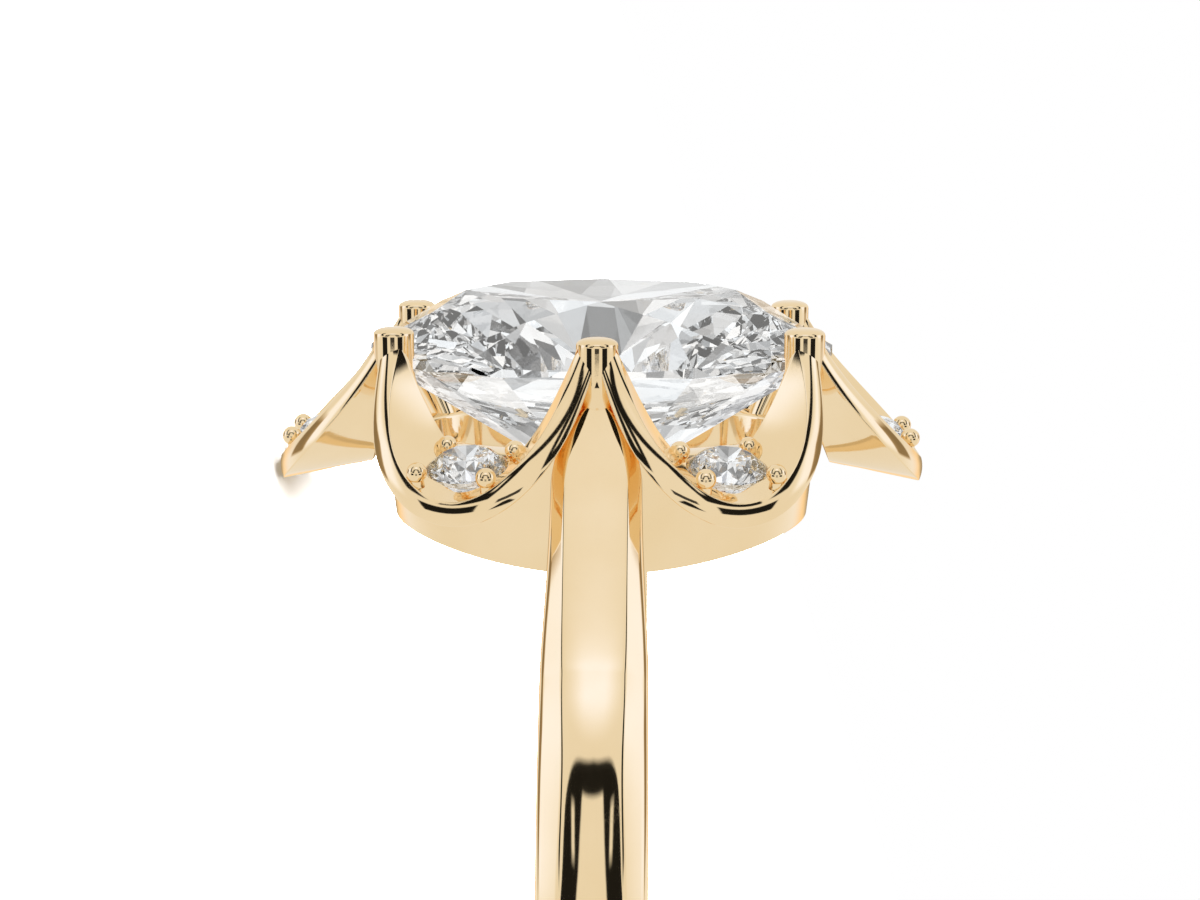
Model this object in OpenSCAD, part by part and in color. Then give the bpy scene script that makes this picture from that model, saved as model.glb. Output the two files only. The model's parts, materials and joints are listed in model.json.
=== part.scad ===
/* [Shank] */
// Radius of the finger hole
bore_r = 8.45; // [8.3:0.05:8.6]
// Radius of the outer face of the shank
shank_r = 10; // [9.8:0.05:10.2]
// Width of the shank along the finger
shank_w = 2.15; // [1.8:0.05:2.4]
// Rounding of the shank's outer edges
shank_edge_r = 0.42; // [0.2:0.02:0.5]

/* [Shoulders] */
// Angle from the top of the band at which a shoulder leaves its outer face
shoulder_angle = 46; // [42:0.5:50]
// Distance from the middle to the face of a shoulder, where its curve turns up
shoulder_bend_y = 4.35; // [4.2:0.05:4.6]
// Height at which that curve turns up
shoulder_bend_z = 9.9; // [9.6:0.05:10.2]
// Distance from the middle to the face of a shoulder at its top
shoulder_top_y = 4.1; // [4:0.02:4.2]
// Height of the point of the arch in which a shoulder ends, between two petals
shoulder_top_z = 11.65; // [11.3:0.05:12]
// Height at which that arch begins
shoulder_arch_z = 10.2; // [9.9:0.05:10.5]

/* [Center stone] */
// Length of the oval stone
stone_l = 10.25; // [9.8:0.05:10.5]
// Width of the oval stone
stone_w = 7.35; // [7:0.05:7.5]
// Height of the girdle above the middle of the finger hole
girdle_z = 12.27; // [12.1:0.01:12.4]
// Crown height over the width of the stone
crown_ratio = 0.165; // [0.14:0.005:0.18]
// Pavilion depth over the width of the stone
pavilion_ratio = 0.42; // [0.4:0.005:0.43]
// Table width over the width of the stone
table_ratio = 0.58; // [0.54:0.01:0.6]
// Girdle thickness over the width of the stone
girdle_ratio = 0.03; // [0.025:0.005:0.04]
// Clearance of the seat that is cut for it into the prongs
seat_clearance = 0.07; // [0.04:0.01:0.1]

/* [Claw prongs] */
// Half length of the oval on which the prongs stand
halo_a = 5.42; // [5.3:0.02:5.5]
// Half width of the oval on which the prongs stand
halo_b = 3.8; // [3.7:0.02:3.9]
// Place on that oval of the prongs beside its long axis, in degrees
side_prong_angle = 36.9; // [34:0.1:40]
// Radius of a prong
prong_r = 0.43; // [0.38:0.01:0.46]
// Height of the prong tops
prong_top_z = 12.96; // [12.8:0.02:13.1]
// Height of a prong's domed tip
prong_dome = 0.1; // [0.06:0.01:0.14]
// Height at which a prong's foot meets the gallery
prong_foot_z = 9.6; // [9.4:0.05:9.8]

/* [Petals] */
// Height of the petal's face at its lowest point
petal_low_z = 9.97; // [9.9:0.01:10.05]
// Reach of the petal's outer edge beyond the oval
petal_reach = 1.82; // [1.7:0.02:1.9]
// Reach of the petal's inner edge, inside the oval
petal_inset = 0.25; // [0.2:0.01:0.3]
// Thickness of the petal
petal_t = 0.52; // [0.45:0.01:0.55]
// Outward tilt of the petal's face at its lowest point
petal_tilt = 10.7; // [8:0.1:13]
// Turn of the petal's rising ends, away from the prongs they meet
petal_flare = 20; // [10:1:25]
// Angle by which the petal's ends stop short of the prongs
petal_end_angle = 4.4; // [4:0.1:5]
// Upward lean of the petal's bulging edge where it meets the face
rim_high = 25; // [15:1:35]
// Lean of that edge where it meets the back
rim_low = -12; // [-20:1:-5]

/* [Accent stones] */
// Diameter of a round accent stone
accent_d = 1.7; // [1.6:0.02:1.74]
// Height of the accent's girdle above the petal's face
accent_lift = 0.36; // [0.3:0.01:0.42]
// Reach of the accent's centre beyond the oval, in the four petals beside the long axis
accent_reach = 0.68; // [0.6:0.01:0.75]
// The same reach in the two petals on the long axis
end_accent_reach = 0.56; // [0.5:0.01:0.7]
// Radius of the hole under the stone, into which its point reaches
seat_hole_r = 0.54; // [0.48:0.02:0.58]
// Radius of a bead prong
bead_r = 0.21; // [0.18:0.01:0.23]
// Height of a bead prong's ball above the petal's face
bead_lift = 0.46; // [0.42:0.01:0.5]
// Gap between a bead prong and the stone's edge
bead_gap = 0.02; // [0.01:0.01:0.03]

/* [Gallery] */
// Half length of the gallery's oval wall
gallery_a = 4.82; // [4.7:0.02:4.9]
// Half width of the gallery's oval wall
gallery_b = 3.36; // [3.3:0.02:3.4]
// Thickness of the gallery's wall
gallery_t = 0.7; // [0.6:0.05:0.8]
// Height of the gallery's upper edge
gallery_top_z = 10.4; // [10.2:0.05:10.4]

/* [Hidden] */

gold = [0.91, 0.78, 0.52];
diamond = [0.93, 0.95, 0.98, 0.8];
eps = 0.01;

// Sides of what is round, and steps along what is curved
$fn = 64;
bore_sides = 180;
oval_sides = 60;
seat_sides = 32;
prong_sides = 14;
hole_sides = 12;
bead_sides = 10;
petal_steps = 20;
edge_steps = 4;
shoulder_steps = 12;

// Two prongs stand at the ends of the oval's short axis, and four beside its long axis
prong_angles = [
    side_prong_angle, 90, 180 - side_prong_angle,
    180 + side_prong_angle, 270, 360 - side_prong_angle
];
prong_count = len(prong_angles);
prong_foot_inset = gallery_t / 2;

// Six petals run from prong to prong, and of each three this one lies on the long axis
LONG_AXIS_PETAL = 2;
// A petal's ends go up into the prongs, just below their tips and just inside them
petal_top_z = prong_top_z - 0.12;
petal_end_r = prong_r - 0.03;
// A petal rises steeply at its ends only, and keeps its full reach until near them
petal_rise_power = 2.1;
petal_reach_power = 3;
petal_reach_fall = 1.5;

accent_r = accent_d / 2;
// Height, above the petal's face, of the rim of the hole in which the stone's point hangs
seat_mouth_z = accent_lift - girdle_ratio * accent_d
    - pavilion_ratio * accent_d * (1 - seat_hole_r / accent_r) - bead_gap;
bead_neck_r = bead_r * 0.6;
bead_reach = accent_r + bead_r + bead_gap;

// The head's lower parts begin at this height, and the finger hole then trims them
trim_z = bore_r - 2;
// The shoulders reach inwards to the middle of the gallery's wall
shoulder_in = gallery_b - gallery_t / 2;
shoulder_sink = 0.2;

function unit(v) = v / norm(v);
function mix(a, b, t) = a + (b - a) * t;
function oval_at(t, a, b) = [a * cos(t), b * sin(t)];
function oval_normal(t) = unit([cos(t) / halo_a, sin(t) / halo_b]);
function turned(v, t) = [v.x * cos(t) - v.y * sin(t), v.x * sin(t) + v.y * cos(t)];
function bezier(a, b, c, t) = mix(mix(a, b, t), mix(b, c, t), t);

// Level rings about the upright axis, one for each [height, radius]
function level_rings(levels, sides) = [
    for (level = levels) [
        for (i = [0:sides - 1])
            let (a = 360 * i / sides)
            [level[1] * cos(a), level[1] * sin(a), level[0]]
    ]
];

// Solid skin over a list of rings that all have the same number of points
module skin(rings) {
    n = len(rings[0]);
    last = len(rings) - 1;
    points = [for (ring = rings) for (p = ring) p];
    sides = [
        for (r = [0:last - 1]) for (i = [0:n - 1])
            let (a = r * n + i, b = r * n + (i + 1) % n)
            for (tri = [[a, a + n, b], [b, a + n, b + n]]) tri
    ];
    first_cap = [[for (i = [0:n - 1]) i]];
    last_cap = [[for (i = [n - 1:-1:0]) last * n + i]];
    polyhedron(points, concat(sides, first_cap, last_cap), convexity = 10);
}

// A petal is a strip that hangs in a U between two prongs. The place s along it runs from -1 at one
// prong, over 0 at its lowest point, to 1 at the next prong.
function fullness(s) = pow(1 - pow(abs(s), petal_reach_power), petal_reach_fall);
function petal_out(s) = mix(petal_end_r, petal_reach, fullness(s));
function petal_in(s) = mix(-petal_end_r, -petal_inset, fullness(s));
function petal_z(s) = mix(petal_low_z, petal_top_z, pow(abs(s), petal_rise_power));
function petal_angle(k, s) =
    let (
        from = prong_angles[k],
        to = prong_angles[(k + 1) % prong_count] + (k == prong_count - 1 ? 360 : 0)
    )
    mix(from, to, 0.5) + ((to - from) / 2 - petal_end_angle) * s;
// The three directions of the strip at s: across it and away from the stone, along it, and off its face
function petal_outward(k, s) =
    let (
        level = turned(oval_normal(petal_angle(k, s)), petal_flare * sign(s) * s * s),
        tilt = petal_tilt * (1 - s * s)
    )
    [level.x * cos(tilt), level.y * cos(tilt), -sin(tilt)];
function petal_along(k, s) =
    let (before = max(s - eps, -1), after = min(s + eps, 1))
    unit(petal_point(k, after) - petal_point(k, before));
function petal_up(k, s) = unit(cross(petal_outward(k, s), petal_along(k, s)));
// Middle of the strip's face at s
function petal_point(k, s) =
    let (
        oval = oval_at(petal_angle(k, s), halo_a, halo_b),
        out = petal_outward(k, s),
        reach = (petal_out(s) + petal_in(s)) / 2
    )
    [oval.x + out.x * reach, oval.y + out.y * reach, petal_z(s)];

// Outline across the strip: a flat face, a flat back and two bulging edges. Each edge is an arc that
// leans by the angle high where it meets the face, and by low where it meets the back.
function edge_radius(t, high, low) = t / (sin(high) - sin(low));
function strip_outline(half, t, high, low) =
    let (
        r = edge_radius(t, high, low),
        edge = [
            for (i = [0:edge_steps])
                let (a = mix(low, high, i / edge_steps))
                [half - r + r * cos(a), r * (sin(a) - sin(high))]
        ]
    )
    concat(edge, [for (i = [edge_steps:-1:0]) [-edge[i].x, edge[i].y]]);

// The strip's outline at s, which turns from a flat band into the round of the prongs
function petal_ring(k, s) =
    let (
        at = petal_point(k, s), out = petal_outward(k, s), up = petal_up(k, s),
        half = (petal_out(s) - petal_in(s)) / 2,
        t = mix(petal_end_r, petal_t, fullness(s)),
        high = mix(90, rim_high, pow(fullness(s), 0.4)),
        low = mix(0, rim_low, fullness(s))
    )
    [for (p = strip_outline(half, t, high, low)) at + out * p.x + up * p.y];

// Rings lie closer together near the prongs, where the petal bends most
module petal(k) {
    skin([for (i = [0:petal_steps]) petal_ring(k, cos(180 * i / petal_steps))]);
}

// Moves its children to the place of the accent stone on a petal's face, square to that face
module on_petal(k) {
    out = petal_outward(k, 0);
    up = petal_up(k, 0);
    side = cross(up, out);
    reach = k % 3 == LONG_AXIS_PETAL ? end_accent_reach : accent_reach;
    at = petal_point(k, 0) + out * (reach - (petal_out(0) + petal_in(0)) / 2);
    multmatrix([
        [out.x, side.x, up.x, at.x],
        [out.y, side.y, up.y, at.y],
        [out.z, side.z, up.z, at.z],
        [0, 0, 0, 1]
    ]) children();
}

// Four bead prongs about an accent stone, each a ball on a neck that is rooted in the petal
module accent_beads() {
    foot = [-petal_t / 2, bead_neck_r];
    ball = [for (a = [-20, 10, 45, 75]) [bead_lift + bead_r * sin(a), bead_r * cos(a)]];
    for (i = [0:3]) rotate(45 + 90 * i) translate([bead_reach, 0, 0])
        skin(level_rings(concat([foot], ball), bead_sides));
}

// The seat under an accent stone: a round hole that opens, just clear of the stone, up to its girdle
module accent_seat() {
    mouth_r = (accent_r + bead_gap + eps) / cos(180 / hole_sides);
    levels = [
        [-2 * petal_t, seat_hole_r], [seat_mouth_z, seat_hole_r],
        [accent_lift - girdle_ratio * accent_d, mouth_r], [accent_lift, mouth_r]
    ];
    skin(level_rings(levels, hole_sides));
}

// A claw prong leans out from the gallery's wall, then stands upright beside the stone
module prong(t) {
    top = oval_at(t, halo_a, halo_b);
    foot = oval_at(t, gallery_a - prong_foot_inset, gallery_b - prong_foot_inset);
    // Each level has its height, its radius and how far out it stands, from the foot at 0 to the top at 1
    levels = [
        [prong_foot_z, prong_r * 0.8, 0], [petal_low_z + 1, prong_r * 0.95, 0.45],
        [prong_top_z - 0.9, prong_r, 1], [prong_top_z - prong_dome, prong_r, 1],
        [prong_top_z, prong_r * 0.6, 1]
    ];
    rings = level_rings(levels, prong_sides);
    skin([
        for (i = [0:len(levels) - 1])
            let (c = mix(foot, top, levels[i][2]))
            [for (p = rings[i]) p + [c.x, c.y, 0]]
    ]);
}

// The room that the center stone needs, cut into the prongs
module center_seat() {
    // Each level has its height and its share of the girdle's oval
    levels = [
        [-0.6 * pavilion_ratio * stone_w, 0.45], [-girdle_ratio * stone_w, 1],
        [0, 1], [crown_ratio * stone_w, table_ratio]
    ];
    translate([0, 0, girdle_z]) skin([
        for (level = levels) [
            for (i = [0:seat_sides - 1])
                let (
                    a = stone_l / 2 * level[1] + seat_clearance,
                    b = stone_w / 2 * level[1] + seat_clearance,
                    p = oval_at(360 * i / seat_sides, a, b)
                )
                [p.x, p.y, level[0]]
        ]
    ]);
}

module oval_plate(a, b, h) {
    linear_extrude(h) polygon([for (i = [0:oval_sides - 1]) oval_at(360 * i / oval_sides, a, b)]);
}

// The wall under the halo, an oval tube
module gallery() {
    difference() {
        translate([0, 0, trim_z]) oval_plate(gallery_a, gallery_b, gallery_top_z - trim_z);
        translate([0, 0, trim_z - eps])
            oval_plate(gallery_a - gallery_t, gallery_b - gallery_t, gallery_top_z - trim_z + 2 * eps);
    }
}

// Half width of a shoulder, which narrows in a pointed arch to a thin tip
function shoulder_half(z) =
    let (rise = max(z - shoulder_arch_z, 0) / (shoulder_top_z - shoulder_arch_z))
    max((shank_w / 2 - eps) * sqrt(1 - pow(rise, 1.5)), 4 * eps);

// A shoulder leaves the band just inside its outer face and bends up the gallery's wall. It is a stack
// of level sections, each with the band's rounded corners.
module shoulder() {
    low = (shank_r - shoulder_sink) * [sin(shoulder_angle), cos(shoulder_angle)];
    bend = [shoulder_bend_y, shoulder_bend_z];
    top = [shoulder_top_y, shoulder_top_z];
    skin([
        for (i = [0:shoulder_steps])
            let (
                p = bezier(low, bend, top, i / shoulder_steps),
                w = shoulder_half(p.y), r = min(shank_edge_r, w * 0.6)
            )
            [for (q = concat(
                [[shoulder_in, -w], [p.x - r, -w]],
                [for (a = [-60, -30, 0]) [p.x - r + r * cos(a), r - w + r * sin(a)]],
                [for (a = [0, 30, 60]) [p.x - r + r * cos(a), w - r + r * sin(a)]],
                [[p.x - r, w], [shoulder_in, w]]
            )) [q.y, -q.x, p.y]]
    ]);
}

// All that stands on top of the band
module head() {
    difference() {
        union() {
            gallery();
            for (k = [0:prong_count - 1]) {
                prong(prong_angles[k]);
                petal(k);
                on_petal(k) accent_beads();
            }
            shoulder();
            rotate(180) shoulder();
        }
        rotate([0, 90, 0]) cylinder(h = 2 * shank_r, r = bore_r + eps, center = true, $fn = bore_sides);
        for (k = [0:prong_count - 1]) on_petal(k) accent_seat();
        center_seat();
    }
}

// Section of the band: flat inside and outside, with its two outer edges rounded
module shank_profile() {
    w = shank_w / 2;
    r = shank_edge_r;
    translate([bore_r, -w]) square([shank_r - bore_r - r, shank_w]);
    translate([bore_r, r - w]) square([shank_r - bore_r, shank_w - 2 * r]);
    for (side = [-1, 1]) translate([shank_r - r, side * (w - r)]) circle(r);
}

// The plain band, open at the top where the gallery stands
module shank() {
    difference() {
        rotate([0, 90, 0]) rotate_extrude() shank_profile();
        translate([-shank_w, -shoulder_in, 0]) cube([2 * shank_w, 2 * shoulder_in, 2 * shank_r]);
    }
}

// A brilliant cut of unit girdle radius. It has the table with its 8 stars, 8 kites and 16 halves, a
// faceted girdle, and 16 halves and 8 mains below, which meet in a point.
module brilliant(crown, pavilion, table, girdle) {
    half = 22.5;
    // A star's tip lies at this radius, and its height follows from the slope of the kites
    star_r = mix(table, 1, 0.45);
    star_z = crown / (1 - table) * (1 - star_r * cos(half));
    // The lower halves reach down to this radius, on the planes of the mains
    low_r = 0.24;
    low_z = pavilion * (1 - low_r * cos(half));
    // How far a facet's plane dips at the middle of its curved edge
    crown_dip = star_z / (1 - star_r * cos(half)) * (1 - cos(half)) / 4;
    low_dip = low_z / (1 - low_r * cos(half)) * (1 - cos(half)) / 4;
    function ring(r, z, from, n) = [
        for (i = [0:n - 1]) [r * cos(from + 360 * i / n), r * sin(from + 360 * i / n), z]
    ];
    function girdle_ring(z, dip) = [
        for (i = [0:31]) [cos(half / 2 * i), sin(half / 2 * i), z + (i % 2) * dip]
    ];
    points = concat(
        ring(table, crown, 0, 8), ring(star_r, star_z, half, 8),
        girdle_ring(0, -crown_dip), girdle_ring(-girdle, low_dip),
        ring(low_r, -girdle - low_z, half, 8), [[0, 0, -girdle - pavilion]]
    );
    // Where each of these rings begins in the list of points
    star = 8;
    top = star + 8;
    bottom = top + 32;
    low = bottom + 32;
    tip = low + 8;
    faces = concat(
        [[7, 6, 5, 4, 3, 2, 1, 0]],
        [for (i = [0:7]) [i, (i + 1) % 8, star + i]],
        [for (i = [0:7]) [i, star + i, top + 4 * i, star + (i + 7) % 8]],
        [for (i = [0:7]) [star + i, top + 4 * i + 2, top + 4 * i + 1, top + 4 * i]],
        [for (i = [0:7]) [star + i, top + (4 * i + 4) % 32, top + 4 * i + 3, top + 4 * i + 2]],
        [for (i = [0:31]) [top + i, top + (i + 1) % 32, bottom + (i + 1) % 32, bottom + i]],
        [for (i = [0:7]) [bottom + 4 * i, bottom + 4 * i + 1, bottom + 4 * i + 2, low + i]],
        [for (i = [0:7]) [bottom + 4 * i + 2, bottom + 4 * i + 3, bottom + (4 * i + 4) % 32, low + i]],
        [for (i = [0:7]) [bottom + 4 * i, low + i, tip, low + (i + 7) % 8]]
    );
    polyhedron(points, faces, convexity = 4);
}

module stone_shape(half_l, half_w) {
    scale([half_l, half_w, half_w])
        brilliant(2 * crown_ratio, 2 * pavilion_ratio, table_ratio, 2 * girdle_ratio);
}

// The ring lies on its side, on the tip of a petal and on the lower edge of the shank. Both edges are
// arcs in the ring's middle plane, and the floor is the line that touches both.
tip_edge_r = edge_radius(petal_t, rim_high, rim_low);
tip_half = (petal_out(0) - petal_in(0)) / 2;
tip_centre = petal_point(LONG_AXIS_PETAL, 0)
    + petal_outward(LONG_AXIS_PETAL, 0) * (tip_half - tip_edge_r)
    - petal_up(LONG_AXIS_PETAL, 0) * tip_edge_r * sin(rim_high);
shank_centre = [shank_edge_r - shank_w / 2, 0, shank_edge_r - shank_r];
span = tip_centre - shank_centre;
rest_tilt = acos((shank_edge_r - tip_edge_r) / norm(span)) - atan2(span.z, -span.x);

// Lays the ring on its side: the head points to -X, and the finger hole looks up, leaning by rest_tilt
module at_rest() {
    rotate([0, rest_tilt - 90, 0]) children();
}

module mounting() {
    color(gold) at_rest() {
        shank();
        // Welds the head into one skin, at its own size
        resize([0, 0, 0]) head();
    }
}

module center_stone() {
    color(diamond) at_rest()
        translate([0, 0, girdle_z]) stone_shape(stone_l / 2, stone_w / 2);
}

// The stone of petal k: 0 and 1 at the back, 2 at the head's left end, 3 and 4 in front, 5 at its right end
module accent_stone(k) {
    color(diamond) at_rest() on_petal(k)
        translate([0, 0, accent_lift]) stone_shape(accent_r, accent_r);
}

mounting();
center_stone();
accent_stone(0);  // accent_stone_1
accent_stone(1);  // accent_stone_2
accent_stone(2);  // accent_stone_3
accent_stone(3);  // accent_stone_4
accent_stone(4);  // accent_stone_5
accent_stone(5);  // accent_stone_6
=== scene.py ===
# %% [markdown]
# # A halo ring, dressed in Blender
# The ring holds an oval diamond between six posts. From post to post hangs a petal, a strip of
# polished gold that carries one small round diamond held by four beads. A band with two shoulders
# closes round the finger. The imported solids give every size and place. This lesson puts smooth,
# mirror-like metal where they have flat facets, and gives the stones their glass.

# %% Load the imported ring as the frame
import json
import math

import bmesh
import bpy
from mathutils import Matrix, Vector


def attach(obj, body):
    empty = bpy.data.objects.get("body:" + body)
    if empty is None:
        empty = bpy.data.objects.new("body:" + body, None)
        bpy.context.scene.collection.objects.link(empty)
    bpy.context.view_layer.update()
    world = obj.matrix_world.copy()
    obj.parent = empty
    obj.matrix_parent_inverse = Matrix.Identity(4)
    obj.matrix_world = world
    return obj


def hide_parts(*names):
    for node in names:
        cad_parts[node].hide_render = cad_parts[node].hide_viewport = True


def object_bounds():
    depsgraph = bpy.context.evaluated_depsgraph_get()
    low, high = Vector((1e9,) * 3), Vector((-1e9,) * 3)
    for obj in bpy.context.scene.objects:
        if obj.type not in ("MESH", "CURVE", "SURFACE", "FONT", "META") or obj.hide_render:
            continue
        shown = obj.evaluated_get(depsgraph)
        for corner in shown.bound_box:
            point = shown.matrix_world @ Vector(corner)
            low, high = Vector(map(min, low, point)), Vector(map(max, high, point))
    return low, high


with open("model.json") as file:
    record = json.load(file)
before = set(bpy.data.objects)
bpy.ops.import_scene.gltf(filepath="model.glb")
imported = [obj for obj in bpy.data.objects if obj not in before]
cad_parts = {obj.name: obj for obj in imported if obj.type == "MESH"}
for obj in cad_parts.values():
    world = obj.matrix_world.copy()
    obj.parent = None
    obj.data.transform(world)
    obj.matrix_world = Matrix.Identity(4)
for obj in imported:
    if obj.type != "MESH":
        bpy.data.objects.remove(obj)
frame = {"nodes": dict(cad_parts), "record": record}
solid_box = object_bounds()
print("nodes:", ", ".join(sorted(frame["nodes"])))

# %% [markdown]
# ## From the worn ring to the ring on the table
# A jeweller draws a ring upright: X runs along the finger, Z points up to the stone, and the middle
# of the finger hole is the origin. On the table the ring lies on its side. The record keeps the
# finger hole's axis as it lies there, and that one direction is enough to turn every piece of the
# upright drawing into its place. Sizes below are in millimetres of the upright drawing.

# %% Turn the upright drawing into the resting ring
MM = 0.001
hole = frame["record"]["mounts"][0]
finger = Vector(hole["axis"]).normalized()
if finger.z < 0:
    finger.negate()
away = Vector((0, 1, 0))
TO_REST = Matrix((finger, away, finger.cross(away))).transposed().to_4x4() @ Matrix.Scale(MM, 4)
print("the finger's axis at rest:", [round(x, 4) for x in finger])

# %% [markdown]
# ## Sizes of the drawing
# The same named sizes as in the solid model, so that each dressed piece lies on its solid. The
# sizes of one piece alone stand with that piece.

# %% Sizes that several pieces share
PETALS = 6
BORE_R, SHANK_R, SHANK_HALF = 8.45, 10.0, 1.075
STONE_HALF_L, STONE_HALF_W, GIRDLE_Z = 5.125, 3.675, 12.27
GALLERY_A, GALLERY_B, GALLERY_T, GALLERY_TOP = 4.82, 3.36, 0.7, 10.4
HALO = {
    "half length": 5.42, "half width": 3.8, "side post angle": 36.9,
    "low height": 9.97, "top height": 12.84, "end radius": 0.4, "reach": 1.82, "inset": 0.25,
    "thickness": 0.52, "tilt": 10.7, "flare": 20.0, "end angle": 4.4,
    "lean at face": 25.0, "lean at back": -12.0, "crease radius": 0.03,
}
print(f"the band is {SHANK_R - BORE_R:.2f} mm thick, the halo {2 * HALO['half length']:.2f} mm long")

# %% [markdown]
# ## Node trees as Python arithmetic
# Geometry nodes and materials are both node trees. Clicked together by hand they are hard to read
# back, so one small class wraps a socket: `1 - mask` then adds the Math node for it, and `node`
# adds any other node from its type, its settings and its sockets.

# %% A socket that can be calculated with
class Wire:
    def __init__(self, tree, socket=None):
        self.tree, self.socket = tree, socket

    def node(self, kind, settings=None, sockets=None, output=0):
        """Adds a node, sets it up, then fills its sockets, and returns one of its outputs."""
        node = self.tree.nodes.new(kind)
        for name, value in (settings or {}).items():
            setattr(node, name, value)
        for name, value in (sockets or {}).items():
            if isinstance(value, Wire):
                self.tree.links.new(value.socket, node.inputs[name])
            else:
                node.inputs[name].default_value = value
        return Wire(self.tree, node.outputs[output] if len(node.outputs) else None)

    def out(self, name):
        return Wire(self.tree, self.socket.node.outputs[name])

    def math(self, operation, *others):
        return self.node("ShaderNodeMath", {"operation": operation}, dict(enumerate((self, *others))))

    def pair(self, operation, a, b):
        return self.node("ShaderNodeMath", {"operation": operation}, {0: a, 1: b})

    def __add__(self, other):
        return self.pair("ADD", self, other)

    def __sub__(self, other):
        return self.pair("SUBTRACT", self, other)

    def __rsub__(self, other):
        return self.pair("SUBTRACT", other, self)

    def __mul__(self, other):
        return self.pair("MULTIPLY", self, other)

    def __truediv__(self, other):
        return self.pair("DIVIDE", self, other)

    def __rtruediv__(self, other):
        return self.pair("DIVIDE", other, self)

    def __pow__(self, other):
        return self.pair("POWER", self, other)

    def __neg__(self):
        return self * -1

    __radd__, __rmul__ = __add__, __mul__

    def remap(self, from_low, from_high, to_low=0.0, to_high=1.0, soft=False):
        """The value moved from one range to another, and held inside it."""
        return self.node(
            "ShaderNodeMapRange", {"interpolation_type": "SMOOTHSTEP" if soft else "LINEAR"},
            {
                "Value": self, "From Min": from_low, "From Max": from_high,
                "To Min": to_low, "To Max": to_high,
            },
        )


# %% Try it once
trial = bpy.data.node_groups.new("trial", "ShaderNodeTree")
inverse = 1 - Wire(trial).node("ShaderNodeValue")
print("1 - mask adds the node", inverse.socket.node.operation)
bpy.data.node_groups.remove(trial)

# %% [markdown]
# ## One rule for numbers and for sockets
# A petal's shape is a formula. Written once with the functions below, it works on plain numbers,
# to place the small stones, and on sockets, where Geometry Nodes bend a whole grid with it.

# %% Functions that take a number or a socket
def using(operation, plain):
    return lambda x, *more: x.math(operation, *more) if isinstance(x, Wire) else plain(x, *more)


absolute, whole, root = using("ABSOLUTE", abs), using("FLOOR", math.floor), using("SQRT", math.sqrt)
sign_of = using("SIGN", lambda x: (x > 0) - (x < 0))
at_least, at_most = using("MAXIMUM", max), using("MINIMUM", min)
sine, cosine = using("SINE", math.sin), using("COSINE", math.cos)


def sin_deg(angle):
    return sine(angle * (math.pi / 180))


def cos_deg(angle):
    return cosine(angle * (math.pi / 180))


def mix(a, b, share):
    return a + (b - a) * share


def cross(a, b):
    return (a[1] * b[2] - a[2] * b[1], a[2] * b[0] - a[0] * b[2], a[0] * b[1] - a[1] * b[0])


def unit(v):
    length = root(v[0] * v[0] + v[1] * v[1] + v[2] * v[2])
    return (v[0] / length, v[1] / length, v[2] / length)


print("unit((3, 0, 4)) =", unit((3.0, 0.0, 4.0)))

# %% [markdown]
# ## How a petal hangs
# The place `s` along a petal runs from -1 at one post, over 0 at its lowest point, to 1 at the next
# post. The strip keeps its full width until near the posts, rises steeply there, and turns a little
# away from them.

# %% How wide a petal is, and where its post stands
def post_angle(halo, i):
    """Place of post i on the oval: one at each end of its short axis, four beside its long axis."""
    half = whole(i / 3)
    return half * 180 + 90 + (90 - halo["side post angle"]) * (i - half * 3 - 1)


FLAT_POWER, FADE_POWER, INNER_END = 3, 1.5, -0.1


def fullness(s):
    """1 along most of the strip, and 0 at its two ends."""
    return at_least(1 - absolute(s) ** FLAT_POWER, 0.0) ** FADE_POWER


def petal_reach(halo, s):
    """How far the strip reaches beyond the oval, and inside it."""
    outer = mix(halo["end radius"], halo["reach"], fullness(s))
    inner = mix(INNER_END, 0 - halo["inset"], fullness(s))
    return outer, inner


print("posts stand at", [round(post_angle(HALO, i), 1) for i in range(PETALS)], "degrees round the oval")

# %% [markdown]
# `petal_frame` gives the middle of the strip's face and two directions of its section: outwards,
# and up out of the face. The third, along the strip, is measured between two points close by.

# %% Where a petal's face is
RISE_POWER = 2.1
CLOSE_BY = 0.01


def petal_outward(halo, k, s):
    first, last = post_angle(halo, k), post_angle(halo, k + 1)
    place = (first + last) / 2 + ((last - first) / 2 - halo["end angle"]) * s
    # The oval's normal at this place, turned by the flare
    across, along = sin_deg(place) / halo["half width"], cos_deg(place) / halo["half length"]
    size = root(across * across + along * along)
    turn = halo["flare"] * sign_of(s) * s * s
    tilt = halo["tilt"] * (1 - s * s)
    level = (
        (along * cos_deg(turn) - across * sin_deg(turn)) / size,
        (along * sin_deg(turn) + across * cos_deg(turn)) / size,
    )
    return place, (level[0] * cos_deg(tilt), level[1] * cos_deg(tilt), 0 - sin_deg(tilt))


def petal_point(halo, k, s):
    place, out = petal_outward(halo, k, s)
    outer, inner = petal_reach(halo, s)
    middle = (outer + inner) / 2
    return (
        halo["half length"] * cos_deg(place) + out[0] * middle,
        halo["half width"] * sin_deg(place) + out[1] * middle,
        mix(halo["low height"], halo["top height"], absolute(s) ** RISE_POWER),
    )


def petal_frame(halo, k, s):
    before, after = petal_point(halo, k, s - CLOSE_BY), petal_point(halo, k, s + CLOSE_BY)
    out = petal_outward(halo, k, s)[1]
    along = unit(tuple(b - a for a, b in zip(before, after)))
    return petal_point(halo, k, s), out, unit(cross(out, along))


for k in (0, 2):
    print(f"petal {k}: lowest point", [round(x, 2) for x in petal_frame(HALO, k, 0.0)[0]])

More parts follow.
